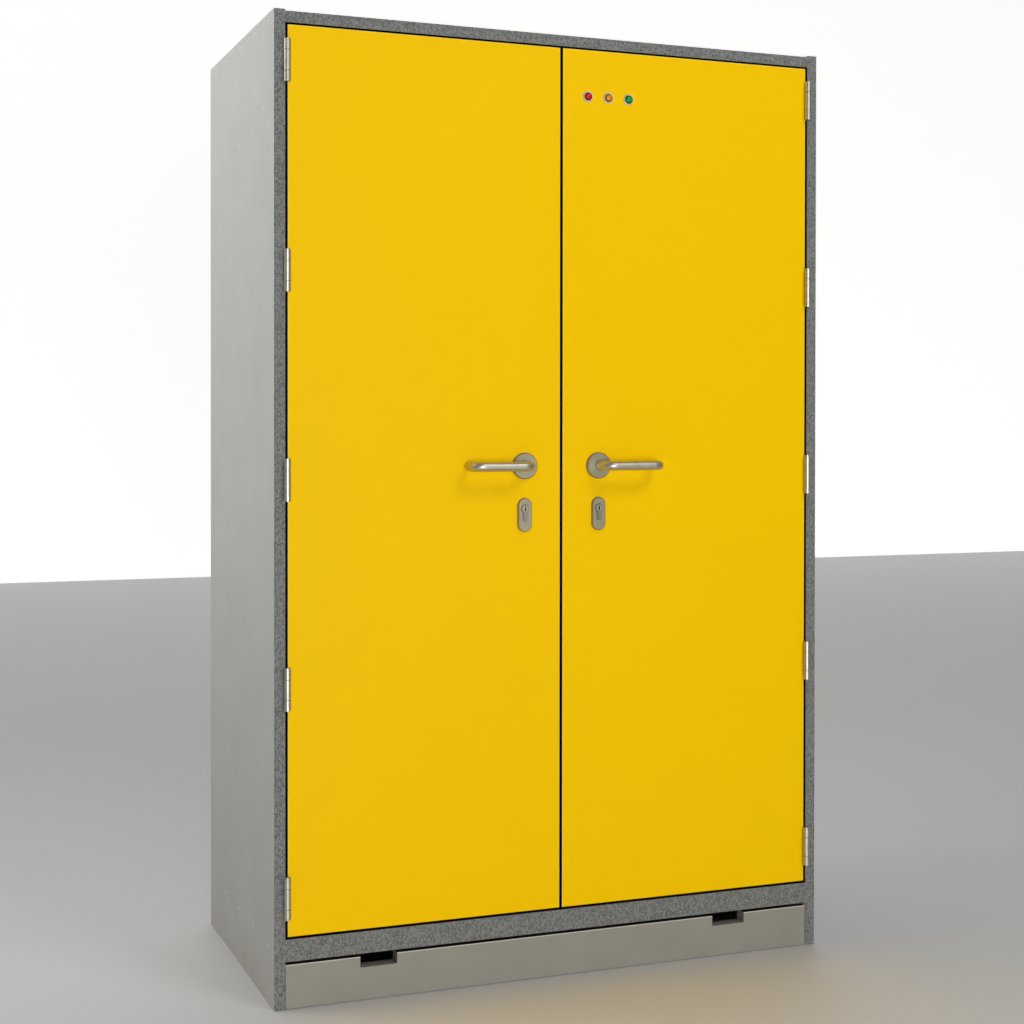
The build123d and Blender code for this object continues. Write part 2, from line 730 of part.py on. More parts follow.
# ---------------------------------------------------------------- indicators
def lamp_bezel(x):
    """Turned bezel with its threaded body through the door."""
    outline = Polyline(
        (0, -LAMP_BODY_L),
        (LAMP_BODY_R, -LAMP_BODY_L),
        (LAMP_BODY_R, 0),
        (BEZEL_R, 0),
        (BEZEL_R, BEZEL_T * 0.6),
        (BEZEL_R - 1.2, BEZEL_T),
        (LENS_R, BEZEL_T),
        (LENS_R, 0.5),
        (0, 0.5),
        close=True,
    )
    turned = revolve(Plane.XZ * make_face(outline), axis=Axis.Z)
    return Pos(x, FRONT, LAMP_Z) * Rot(90, 0, 0) * turned


def lamp_lens(x):
    """Domed lens seated in its bezel: a disc under a low spherical cap."""
    ball_r = (LENS_R**2 + LENS_RISE**2) / (2 * LENS_RISE)
    foot, top = 0.5, BEZEL_T + LENS_RISE
    disc = Pos(0, 0, (foot + top) / 2) * Cylinder(LENS_R, top - foot)
    cap = disc & Pos(0, 0, top - ball_r) * Sphere(ball_r)
    return Pos(x, FRONT, LAMP_Z) * Rot(90, 0, 0) * cap


# ---------------------------------------------------------------- fittings inside
def upright(x_wall, direction, y):
    """U-channel on a compartment wall; direction points into the compartment."""
    x1 = x_wall + direction * UPRIGHT_T
    z0, z1 = LINING_FLOOR_Z, DIVIDER_Z
    channel = block(x_wall, x1, y - UPRIGHT_W / 2, y + UPRIGHT_W / 2, z0, z1)
    x2 = x1 - direction * SHEET_T
    hollow = block(x_wall, x2, y - UPRIGHT_W / 2 + SHEET_T, y + UPRIGHT_W / 2 - SHEET_T, z0, z1)
    return channel - hollow


def compartment_walls():
    """(wall x, way in) of the right-hand compartment's two side walls."""
    return ((HALF_PARTITION, 1), (LINING_IN, -1))


def upright_ys():
    return (SEAT_Y + UPRIGHT_FROM_FRONT, LINING_BACK_Y - UPRIGHT_FROM_BACK)


def uprights():
    made = []
    for sign in SIDES.values():
        for wall, way in compartment_walls():
            for y in upright_ys():
                made.append(on_side(upright(wall, way, y), sign))
    return made


def shelf_x():
    gap = UPRIGHT_T + SHELF_SIDE_GAP
    return HALF_PARTITION + gap, LINING_IN - gap


def shelf(z):
    """Folded sheet-steel shelf, its rim turned down, with slots for air."""
    x0, x1 = shelf_x()
    y0, y1 = SEAT_Y + 15, LINING_BACK_Y - STRIP_T - SHELF_BACK_GAP
    pan = block(x0, x1, y0, y1, z - SHELF_FOLD, z)
    pan -= block(x0 + SHEET_T, x1 - SHEET_T, y0 + SHEET_T, y1 - SHEET_T, z - SHELF_FOLD, z - SHEET_T)
    columns, rows = 6, 3
    for i in range(columns):
        for j in range(rows):
            x = x0 + (x1 - x0) * (i + 1) / (columns + 1)
            y = y0 + (y1 - y0) * (j + 1) / (rows + 1)
            pan -= block(x - 4, x + 4, y - 35, y + 35, z - SHEET_T, z)
    return pan


def shelf_clips():
    """Angle clips hooked on the uprights, each with a ledge under a shelf's rim."""
    made = []
    for sign in SIDES.values():
        for z in SHELF_ZS:
            for wall, way in compartment_walls():
                for y in upright_ys():
                    x0 = wall + way * UPRIGHT_T
                    foot = z - SHELF_FOLD
                    ledge = block(x0, x0 + way * 16, y - 10, y + 10, foot - 2, foot)
                    web = block(x0, x0 + way * 2, y - 10, y + 10, foot - CLIP_H, foot)
                    made.append(on_side(ledge + web, sign))
    return made


def spill_tray():
    """Welded tray on the compartment's floor."""
    x0, x1 = HALF_PARTITION + UPRIGHT_T + TRAY_GAP, LINING_IN - UPRIGHT_T - TRAY_GAP
    y0, y1 = SEAT_Y + TRAY_GAP, LINING_BACK_Y - TRAY_GAP
    z0 = LINING_FLOOR_Z
    tray = block(x0, x1, y0, y1, z0, z0 + TRAY_H)
    return tray - block(x0 + SHEET_T, x1 - SHEET_T, y0 + SHEET_T, y1 - SHEET_T, z0 + SHEET_T, z0 + TRAY_H)


def strip_x():
    return (HALF_PARTITION + LINING_IN) / 2


def rocker_z():
    return STRIP_Z + STRIP_L / 2 - 38


def socket_strip():
    """Upright socket strip on the back lining, with round earthed sockets and a well for its switch."""
    x, y1 = strip_x(), LINING_BACK_Y
    y0 = y1 - STRIP_T
    strip = block(x - STRIP_W / 2, x + STRIP_W / 2, y0, y1, STRIP_Z - STRIP_L / 2, STRIP_Z + STRIP_L / 2)
    for i in range(SOCKET_COUNT):
        z = STRIP_Z - STRIP_L / 2 + 45 + i * SOCKET_PITCH
        strip -= rod_along_y(SOCKET_R, x, z, y0, y0 + SOCKET_DEPTH)
        for dx in (-9.5, 9.5):
            strip -= rod_along_y(2.4, x + dx, z, y0 + SOCKET_DEPTH, y0 + SOCKET_DEPTH + 18)
    half_w, half_h = ROCKER_W / 2 + ROCKER_PLAY, ROCKER_H / 2 + ROCKER_PLAY
    z = rocker_z()
    strip -= block(x - half_w, x + half_w, y0, y0 + 16, z - half_h, z + half_h)
    return strip - Pos(x, rocker_y(), z) * pivot_bar(ROCKER_PIVOT_R + PIVOT_PLAY)


def rocker():
    """Rocker of the strip's switch, off: a shallow V-shaped face on a pivot bar along X."""
    x, z = strip_x(), rocker_z()
    half = ROCKER_H / 2 - 2
    face = Polyline((-half, 5.5), (0, 4.2), (half, 5.5), (half * 0.8, -3), (-half * 0.8, -3), close=True)
    plane = Plane(origin=(-ROCKER_W / 2, 0, 0), x_dir=(0, 0, -1), z_dir=(1, 0, 0))
    body = extrude(plane * make_face(face), amount=ROCKER_W)
    body = mirror(body, about=Plane.XZ) + pivot_bar(ROCKER_PIVOT_R)
    return Pos(x, rocker_y(), z) * Rot(ROCKER_TILT, 0, 0) * body


def rocker_y():
    return LINING_BACK_Y - STRIP_T + ROCKER_SINK


def pivot_bar(radius):
    return Rot(0, 90, 0) * Cylinder(radius, ROCKER_W + 8)


def exhaust_duct():
    """Round duct from the storage space up through the service compartment to a spigot over the top."""
    z0, z1 = DIVIDER_Z, TOP_Z + DUCT_RISE
    tube = rod_along_z(DUCT_R, DUCT_X, DUCT_Y, z0, z1)
    tube += rod_along_z(FLANGE_R, DUCT_X, DUCT_Y, TOP_Z, TOP_Z + FLANGE_T)
    tube += rod_along_z(FLANGE_R, DUCT_X, DUCT_Y, z0 - FLANGE_T, z0)
    return tube - rod_along_z(DUCT_R - DUCT_WALL, DUCT_X, DUCT_Y, z0 - FLANGE_T, z1)


def control_unit():
    """Box of the alarm electronics in the service compartment."""
    half, foot = UNIT_W / 2, DIVIDER_TOP_Z + UNIT_OVER_DIVIDER
    body = block(-half, half, LINING_BACK_Y - UNIT_T, LINING_BACK_Y, foot, foot + UNIT_H)
    return fillet(body.edges().filter_by(Axis.Y), UNIT_EDGE_R)


def smoke_detector():
    """Round detector under the divider: a flat base and a stepped dome."""
    r, h, base = DETECTOR_R, DETECTOR_H, DETECTOR_BASE_T
    dome = ((r - 10, -base - 4), (r - 12, 12 - h), (r - 26, 2 - h))
    outline = Polyline((0, 0), (r, 0), (r, -base), *dome, (0, -h), close=True)
    turned = revolve(Plane.XZ * make_face(outline), axis=Axis.Z)
    return Pos(HALF_PARTITION + DETECTOR_FROM_MIDDLE, SEAT_Y + DETECTOR_BEHIND_SEAT, DIVIDER_Z) * turned


def gland_place():
    return WIDTH / 2 - GLAND_FROM_SIDE, DIVIDER_TOP_Z + GLAND_OVER_DIVIDER


def gland_hole(y0, y1):
    return rod_along_y(GLAND_R, *gland_place(), y0, y1)


def cable_gland():
    """Gland for the supply cable, through the back of the service compartment."""
    x, z = gland_place()
    y0, y1 = LINING_BACK_Y - GLAND_IN, BACK + GLAND_OUT
    seat = Plane(origin=(x, BACK, z), x_dir=(1, 0, 0), z_dir=(0, 1, 0))
    nut = extrude(seat * RegularPolygon(GLAND_NUT_R, 6), amount=GLAND_NUT_T)
    return nut + gland_hole(y0, y1) - rod_along_y(GLAND_BORE_R, x, z, y0, y1)


# ---------------------------------------------------------------- write every node
def main():
    os.makedirs("parts", exist_ok=True)

    save("top_panel", drilled(top_board()))
    save("bottom_panel", drilled(bottom_board()))
    save("back_panel", drilled(back_board() - gland_hole(BACK - BACK_T, BACK)))
    save("side_screws", *[on_side(screw, s) for s in SIDES.values() for screw in screws()])
    save("lining_top", lining_top())
    save("lining_floor", lining_floor())
    save("lining_back", lining_back() - gland_hole(LINING_BACK_Y, BACK - BACK_T))
    save("compartment_divider", divider())
    save("service_cover", service_cover())
    save("centre_partition", centre_partition())
    save("rod_keeps", *keeps())
    save("base_runners", *runners())
    save("plinth_panel", plinth_board())
    save("plinth_clips", *plinth_clips())
    save("shelf_uprights", *uprights())
    save("shelf_clips", *shelf_clips())
    save("control_unit", control_unit())
    save("cable_gland", cable_gland())

    both = {
        "door_seals": door_seal(),
        "exhaust_ducts": exhaust_duct(),
        "smoke_detectors": smoke_detector(),
        "spill_trays": spill_tray(),
        "socket_strips": socket_strip(),
    }
    for name, shape in both.items():
        save(name, *[on_side(shape, sign) for sign in SIDES.values()])
    save("hinge_leaves_frame", *[on_side(frame_leaf(z), s) for s in SIDES.values() for z in HINGE_ZS])
    save("shelves", *[on_side(shelf(z), s) for s in SIDES.values() for z in SHELF_ZS])
    save("hinge_pins", *[on_side(hinge_pin(z), s) for s in SIDES.values() for z in HINGE_ZS])

    for side, sign in SIDES.items():
        lamps = side == "right"
        single = {
            "side_panel": drilled(side_board()),
            "lining": drilled(lining_side()),
            "door_skin": door_skin(lamps),
            "door_core": door_core(lamps),
            "lock_case": lock_case(),
            "lever_gear": lever_gear(),
            "rod_upper": lock_rod(1),
            "rod_lower": lock_rod(-1),
            "cylinder": cylinder_body(),
            "cylinder_plug": cylinder_plug(),
            "lever": lever(),
            "rosette": rosette(),
            "escutcheon": escutcheon(),
            "rocker": rocker(),
        }
        for name, shape in single.items():
            save(f"{name}_{side}", on_side(shape, sign))
        save(f"hinge_leaves_{side}", *[on_side(door_leaf(z), sign) for z in HINGE_ZS])

    save("lamp_bezels", *[lamp_bezel(x) for x in LAMP_XS])
    for colour, x in zip(("red", "amber", "green"), LAMP_XS):
        save(f"lamp_lens_{colour}", lamp_lens(x))


main()
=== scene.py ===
from math import pi, radians

import bpy
import numpy as np
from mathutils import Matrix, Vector


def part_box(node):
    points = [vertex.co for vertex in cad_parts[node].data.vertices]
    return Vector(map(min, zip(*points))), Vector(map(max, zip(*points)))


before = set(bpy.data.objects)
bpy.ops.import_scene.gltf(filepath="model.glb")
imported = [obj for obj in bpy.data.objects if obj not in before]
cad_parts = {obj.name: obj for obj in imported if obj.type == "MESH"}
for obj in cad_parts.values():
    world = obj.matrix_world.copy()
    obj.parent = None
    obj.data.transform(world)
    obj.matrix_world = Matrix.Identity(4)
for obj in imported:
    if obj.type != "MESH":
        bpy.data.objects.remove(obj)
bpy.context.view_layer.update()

# ---------------------------------------------------------------- carcass boards
# Fire-resistant boards with a smooth light grey facing, screwed together through the sides.
# Their cut front edges are sealed with thin grey paint, so the board's dark and light flecks show.

class Net:
    """A socket in a material's node tree; arithmetic on it adds Math nodes."""

    def __init__(self, material, socket):
        self.material, self.socket = material, socket

    def math(self, operation, *others):
        values = dict(enumerate((self, *others)))
        return self.material.node("ShaderNodeMath", {"operation": operation}, values)

    def __add__(self, other):
        return self.math("ADD", other)

    def __sub__(self, other):
        return self.math("SUBTRACT", other)

    def __rsub__(self, other):
        return (self * -1.0) + other

    def __mul__(self, other):
        return self.math("MULTIPLY", other)

    def __abs__(self):
        return self.math("ABSOLUTE")

    __radd__, __rmul__ = __add__, __mul__

    def smaller(self, other):
        return self.math("MINIMUM", other)

    def larger(self, other):
        return self.math("MAXIMUM", other)

    def below(self, edge, soft):
        """1 under the edge and 0 over it, with a ramp this wide between."""
        return ((edge - self) * (1.0 / soft) + 0.5).smaller(1.0).larger(0.0)

    def above(self, edge, soft):
        return 1.0 - self.below(edge, soft)


class Material:
    """One finish, patterned on object coordinates in metres."""

    def __init__(self, name, rough, metal=0.0):
        self.data = bpy.data.materials.new(name)
        self.data.use_nodes = True
        self.tree = self.data.node_tree
        self.shader = self.tree.nodes["Principled BSDF"]
        self.set("Roughness", rough)
        self.set("Metallic", metal)
        self.place = self.node("ShaderNodeTexCoord", {}, {}, "Object")
        split = self.node("ShaderNodeSeparateXYZ", {}, {0: self.place}).socket.node
        self.x, self.y, self.z = (Net(self, output) for output in split.outputs)

    def node(self, kind, settings, sockets, output=0):
        """One node from its type, its settings, set first, and the values or links of its sockets."""
        made = self.tree.nodes.new(kind)
        for name, value in settings.items():
            setattr(made, name, value)
        for name, value in sockets.items():
            self.feed(made.inputs[name], value)
        return Net(self, made.outputs[output])

    def feed(self, slot, value):
        """Links a Net, or writes a plain value, or a colour given as three numbers."""
        if isinstance(value, Net):
            self.tree.links.new(value.socket, slot)
        elif slot.type == "RGBA":
            slot.default_value = (*value, 1.0)
        else:
            slot.default_value = value

    def set(self, socket, value):
        self.feed(self.shader.inputs[socket], value)

    def noise(self, scale, detail=2.0, stretch=(1.0, 1.0, 1.0)):
        """Fractal noise of about 0 to 1, with this many cells a metre."""
        place = self.node("ShaderNodeMapping", {}, {"Vector": self.place, "Scale": stretch})
        return self.node("ShaderNodeTexNoise", {}, {"Vector": place, "Scale": scale, "Detail": detail})

    def mix(self, factor, first, second):
        """The first colour where the factor is 0, the second where it is 1."""
        return self.node("ShaderNodeMix", {"data_type": "RGBA"}, {0: factor, 6: first, 7: second}, 2)

    def bump(self, height, distance, strength=1.0):
        sockets = {"Distance": distance, "Strength": strength, "Height": height}
        self.set("Normal", self.node("ShaderNodeBump", {}, sockets))

    def wear(self, *names):
        """Puts the finish on these CAD nodes."""
        for name in names:
            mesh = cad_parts[name].data
            mesh.materials.clear()
            mesh.materials.append(self.data)


def srgb(r, g, b):
    """Linear colour of an 8-bit display colour."""
    return tuple(((c / 255 + 0.055) / 1.055) ** 2.4 if c > 10 else c / 255 / 12.92 for c in (r, g, b))


front_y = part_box("side_panel_left")[0].y
panel = Material("faced_board", 0.42)
panel.set("Specular IOR Level", 0.12)
cloud = panel.noise(9.0, 5.0)
facing = panel.mix(cloud, srgb(186, 186, 182), srgb(200, 200, 197))
speck = panel.noise(700.0, 3.0, (1.0, 1.0, 0.35)).above(0.6, 0.12)
facing = panel.mix(speck * 0.25, facing, srgb(150, 150, 146))
# Painted shade and a painted warm floor reflection: the facing turns darker and warmer towards the bottom, in
# patches.
low_shade_and_floor_reflection = panel.z.below(0.3, 0.6) * (panel.noise(16.0, 4.0).above(0.5, 0.4) * 0.3 + 0.7)
facing = panel.mix(low_shade_and_floor_reflection * 0.5, facing, srgb(160, 150, 132))
fleck = panel.noise(420.0, 5.0, (1.0, 1.0, 0.6))
grain = panel.noise(1300.0, 3.0)
edge = panel.mix(fleck.above(0.5, 0.22), srgb(92, 94, 92), srgb(134, 135, 132))
edge = panel.mix(grain.above(0.64, 0.06) * 0.6, edge, srgb(196, 196, 194))
past_face, crisp = 0.0002, 0.0001  # how far a mask goes past the face that it covers, and its ramp
cut = panel.y.below(front_y + past_face, crisp)
carcass = panel.mix(cut, facing, edge)

# Painted shadow: the boards' inner faces round the rebate that the doors close into are painted near black,
# where shade falls in the gaps round the doors.
inner_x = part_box("side_panel_right")[0].x
ceiling_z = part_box("top_panel")[0].z
floor_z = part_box("bottom_panel")[1].z
seat_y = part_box("lining_left")[0].y
gap_shadow_setback, gap_shadow_ramp = 0.0015, 0.0004
painted_gap_shadow = panel.y.above(front_y + gap_shadow_setback, gap_shadow_ramp) * panel.y.below(seat_y, gap_shadow_ramp)
painted_gap_shadow = painted_gap_shadow * abs(panel.x).below(inner_x + past_face, crisp)
painted_gap_shadow = painted_gap_shadow * panel.z.below(ceiling_z + past_face, crisp) * panel.z.above(floor_z - past_face, crisp)
panel.set("Base Color", panel.mix(painted_gap_shadow, carcass, srgb(24, 22, 20)))
panel.set("Roughness", cut * 0.3 + 0.42)
panel.bump(fleck * cut, 0.0004)
panel.wear("side_panel_left", "side_panel_right", "top_panel", "bottom_panel", "back_panel")

# ---------------------------------------------------------------- side screws
# Countersunk chipboard screws, cold formed from steel wire and zinc plated.
# They hold the top, the bottom, the back and the lining to the side boards.
screw = Material("zinc_screw", 0.5, 0.3)
screw.set("Base Color", screw.mix(screw.noise(300.0), srgb(206, 206, 204), srgb(226, 226, 224)))
screw.wear("side_screws")

# ---------------------------------------------------------------- lining and inner boards
# Bare calcium silicate fire board, off-white and slightly dusty, cut to size and butted.
# It is fixed inside the carcass; the divider, partition and service cover are of the same board.
lining = Material("fire_board", 0.85)
lining_tone = lining.noise(30.0, 5.0)
lining.set("Base Color", lining.mix(lining_tone, srgb(208, 206, 198), srgb(226, 224, 217)))
lining.bump(lining.noise(500.0, 3.0), 0.0003)
lining.wear(
    "lining_left", "lining_right", "lining_top", "lining_floor", "lining_back",
    "compartment_divider", "centre_partition", "service_cover", "base_runners",
)

# ---------------------------------------------------------------- door skins
# Board with a semi-matt yellow facing and arrises eased by hand. A fine paler line at the sides and the top is
# a painted highlight, where the arris catches light. Behind the facing the board's edges are sealed black, and
# this near black also serves as painted shade in the gaps round the door.
low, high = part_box("door_skin_right")
door = Material("door_facing", 0.45)
door.set("Specular IOR Level", 0.05)
tone = door.noise(2.2, 3.0)
door_yellow = door.mix(tone, srgb(246, 196, 0), srgb(249, 200, 2))
across = abs(door.x)
side_arris, top_arris, facing_t, highlight_ramp = 0.0009, 0.0012, 0.0014, 0.0006
# Painted highlight: a paler line along the arris at the sides and the top, where it catches light.
arris_highlight = across.below(low.x + side_arris, highlight_ramp)
arris_highlight = arris_highlight.larger(across.above(high.x - side_arris, highlight_ramp))
arris_highlight = arris_highlight.larger(door.z.above(high.z - top_arris, highlight_ramp))
highlighted_yellow = door.mix(arris_highlight, door_yellow, srgb(252, 228, 120))
# Behind the facing the edges are near black: the black edge seal, which also serves as painted shade in the
# gaps round the door.
behind = door.y.above(low.y + facing_t, 0.0004)
door.set("Base Color", door.mix(behind, highlighted_yellow, srgb(26, 22, 18)))
door.bump(door.noise(900.0, 2.0), 0.00006, 0.4)
door.wear("door_skin_left", "door_skin_right")

# ---------------------------------------------------------------- door cores
# Inner fire board of each door, sealed in pale grey, with the lock pocket and rod grooves milled in.
# Black intumescent strips cover its edges, and their near black also serves as painted shade, so the gaps
# round a shut door look black.
core = Material("door_core_board", 0.7)
core_low, core_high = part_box("door_core_right")
core_tone = core.mix(core.noise(40.0, 4.0), srgb(196, 195, 190), srgb(214, 213, 208))
core_across = abs(core.x)
strip_t, strip_ramp = 0.0004, 0.0002
# Painted shade and black strips: the core's side, top and bottom edges are near black.
strip_and_gap_shade = core_across.below(core_low.x + strip_t, strip_ramp)
strip_and_gap_shade = strip_and_gap_shade.larger(core_across.above(core_high.x - strip_t, strip_ramp))
strip_and_gap_shade = strip_and_gap_shade.larger(core.z.above(core_high.z - strip_t, strip_ramp))
strip_and_gap_shade = strip_and_gap_shade.larger(core.z.below(core_low.z + strip_t, strip_ramp))
core.set("Base Color", core.mix(strip_and_gap_shade, core_tone, srgb(30, 28, 26)))
core.bump(core.noise(450.0, 3.0), 0.0002)
core.wear("door_core_left", "door_core_right")

# ---------------------------------------------------------------- door seals
# Flat black intumescent strips, cut from the roll and glued to the lining's front edges.
# They swell in a fire and shut the gap behind the doors.
seal = Material("intumescent_seal", 0.8)
seal.set("Base Color", seal.mix(seal.noise(700.0, 2.0), srgb(28, 27, 26), srgb(48, 46, 44)))
seal.wear("door_seals")

# ---------------------------------------------------------------- plinth
# Board faced in warm grey laminate, with two finger notches to pull it off and magnet blocks to hold it.
# Its top arris is worn lighter, and its top face is painted dark as painted shadow.
plinth_low, plinth_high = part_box("plinth_panel")
plinth = Material("plinth_laminate", 0.55)
base = plinth.mix(plinth.noise(14.0, 4.0), srgb(136, 133, 122), srgb(148, 145, 134))
worn_w, laminate_t = 0.0016, 0.0003
worn = plinth.z.above(plinth_high.z - worn_w, worn_w / 2)
worn = worn * plinth.y.below(plinth_low.y + laminate_t, 0.0002)
fronted = plinth.mix(worn, base, srgb(206, 203, 192))
# Painted shadow: the top face, behind the front laminate, is near black.
top_shadow = plinth.z.above(plinth_high.z - past_face, crisp)
top_shadow = top_shadow * plinth.y.above(plinth_low.y + laminate_t + crisp, 0.0002)
plinth.set("Base Color", plinth.mix(top_shadow, fronted, srgb(46, 44, 40)))
plinth.wear("plinth_panel")
magnet = Material("magnet_block", 0.5)
magnet.set("Base Color", magnet.mix(magnet.noise(200.0), srgb(52, 52, 54), srgb(66, 66, 68)))
magnet.wear("plinth_clips")

# ---------------------------------------------------------------- hinges and handle sets
# Satin stainless steel: rolled hinges with fixed pins, and levers bent from round bar.
# Fine brushing runs along the hinge barrels and round the bars.
steel = Material("satin_stainless", 0.32, 1.0)
brush = steel.noise(900.0, 3.0, (1.0, 1.0, 0.05))
steel.set("Base Color", steel.mix(steel.noise(60.0, 3.0), srgb(184, 180, 166), srgb(202, 198, 185)))
steel.set("Roughness", brush * 0.16 + 0.34)
steel.wear(
    "hinge_leaves_frame", "hinge_leaves_left", "hinge_leaves_right", "hinge_pins", "lever_left", "lever_right",
)

# ---------------------------------------------------------------- rosettes and escutcheons
# Round and oval plates of the same stainless steel, finished duller than the levers.
# They sit flat on the door skins, round the lever's neck and the cylinder.
plate = Material("satin_plate", 0.42, 1.0)
plate.set("Base Color", plate.mix(plate.noise(60.0, 3.0), srgb(158, 150, 124), srgb(174, 166, 140)))
plate.set("Roughness", plate.noise(700.0, 3.0) * 0.12 + 0.38)
plate.wear("rosette_left", "rosette_right", "escutcheon_left", "escutcheon_right")

# ---------------------------------------------------------------- profile cylinders
# Nickel-plated brass half cylinders, set in the profile cut-out of the door.
# Each turning plug is bare brass, with an upright slit for its key, painted near black as painted shade in the
# keyway.
nickel = Material("nickel_plate", 0.3, 1.0)
nickel.set("Base Color", nickel.mix(nickel.noise(250.0), srgb(176, 170, 150), srgb(192, 186, 168)))
nickel.wear("cylinder_left", "cylinder_right")
plug = Material("plug_brass", 0.28, 1.0)
plug_bright = plug.mix(plug.noise(250.0), srgb(224, 214, 180), srgb(238, 230, 204))
plug_low, plug_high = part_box("cylinder_plug_right")
plug_r, slit_half_w, slit_half_h = 0.0065, 0.00135, 0.0041
# Painted shade: the keyway slit is near black.
slit_shade = abs(abs(plug.x) - plug_low.x - plug_r).below(slit_half_w, crisp)
slit_shade = slit_shade * abs(plug.z - (plug_high.z - plug_r)).below(slit_half_h, crisp)
plug.set("Base Color", plug.mix(slit_shade, plug_bright, srgb(12, 11, 10)))
plug.wear("cylinder_plug_left", "cylinder_plug_right")

# ---------------------------------------------------------------- lock works
# Zinc-plated steel: a folded case, a pinion on a square spindle, and rods that end in racks.
# The case sits in a pocket in the door core, and the keeps sit in the top and bottom boards.
zinc = Material("zinc_plate", 0.36, 1.0)
zinc.set("Base Color", zinc.mix(zinc.noise(90.0, 4.0), srgb(168, 170, 172), srgb(196, 198, 198)))
zinc.set("Roughness", zinc.noise(300.0, 3.0) * 0.2 + 0.26)
zinc.wear(
    "lock_case_left", "lock_case_right", "lever_gear_left", "lever_gear_right", "rod_upper_left",
    "rod_upper_right", "rod_lower_left", "rod_lower_right", "rod_keeps",
)

# ---------------------------------------------------------------- shelves, uprights and spill trays
# Folded sheet steel in light grey powder coat.
# The shelves lie on clips that hook into the uprights, and the trays stand on the floor of each bay.
coated = Material("powder_coat", 0.5)
coated.set("Base Color", coated.mix(coated.noise(8.0), srgb(190, 192, 192), srgb(200, 202, 202)))
coated.bump(coated.noise(1400.0, 2.0), 0.00008, 0.5)
coated.wear("shelves", "shelf_clips", "spill_trays")

# The uprights are slotted every 25 mm in the middle of their faces, so a shelf can hang at any height. The
# slots are painted near black, as painted shade in the openings.
slotted = Material("slotted_upright", 0.5)
slot_pitch, slot_half_h, slot_half_w, slot_ramp = 0.025, 0.006, 0.003, 0.0006
along = abs((slotted.z * (1 / slot_pitch)).math("FRACT") - 0.5) * slot_pitch
low_up, high_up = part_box("shelf_uprights")
upright_half = 0.0125
front_row = abs(slotted.y - (low_up.y + upright_half))
back_row = abs(slotted.y - (high_up.y - upright_half))
# Painted shade: the slots are near black.
slot_shade = along.below(slot_half_h, slot_ramp)
slot_shade = slot_shade * front_row.smaller(back_row).below(slot_half_w, slot_ramp)
slotted.set("Base Color", slotted.mix(slot_shade, srgb(196, 198, 198), srgb(16, 16, 16)))
slotted.wear("shelf_uprights")

# ---------------------------------------------------------------- socket strips and their rockers
# Strips moulded in black fine-textured plastic and fixed upright to the back lining.
# Each has five round sockets and a red rocker switch that tilts on its pivot.
strip = Material("socket_plastic", 0.5)
strip.set("Base Color", strip.mix(strip.noise(120.0), srgb(34, 34, 36), srgb(44, 44, 46)))
strip.bump(strip.noise(2200.0, 2.0), 0.00006, 0.5)
strip.wear("socket_strips")
red = Material("rocker_red", 0.25)
red.set("Base Color", red.mix(red.noise(60.0), srgb(176, 20, 18), srgb(190, 28, 22)))
red.wear("rocker_left", "rocker_right")

# ---------------------------------------------------------------- alarm unit, cable gland, smoke detectors
# Off-white moulded plastic. The alarm unit sits in the service compartment, the gland passes the
# back board, and a detector hangs under the divider in each bay.
white = Material("white_plastic", 0.45)
white.set("Base Color", white.mix(white.noise(20.0), srgb(226, 226, 222), srgb(234, 234, 230)))
white.wear("control_unit", "cable_gland")

# Each detector draws air through a slotted band round its dome, near the foot; the slots are painted near
# black, as painted shade in the openings.
vented = Material("detector_plastic", 0.45)
detector_low, detector_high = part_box("smoke_detectors")
detector_r, band_depth, band_half, rib_count = 0.05, 0.022, 0.005, 36
band = abs(vented.z - (detector_high.z - band_depth)).below(band_half, band_half / 10)
from_middle = abs(vented.x) - (detector_high.x - detector_r)
around = (vented.y - (detector_low.y + detector_r)).math("ARCTAN2", from_middle)
# Painted shade: the vent slots in the band are near black.
vent_slot_shade = abs((around * (rib_count / (2 * pi))).math("FRACT") - 0.5).above(0.14, 0.05)
vented.set("Base Color", vented.mix(band * vent_slot_shade, srgb(230, 230, 226), srgb(20, 20, 20)))
vented.wear("smoke_detectors")

# ---------------------------------------------------------------- exhaust ducts
# Plain galvanised steel tube, one from each bay, for the extract air.
# It is flanged under the divider and over the top board, and ends in an open spigot.
galvanised = Material("galvanised", 0.4, 1.0)
spangle = galvanised.noise(140.0, 1.0)
galvanised_tone = galvanised.mix(spangle.above(0.5, 0.2), srgb(160, 164, 168), srgb(190, 194, 196))
galvanised.set("Base Color", galvanised_tone)
galvanised.set("Roughness", spangle * 0.25 + 0.25)
galvanised.wear("exhaust_ducts")

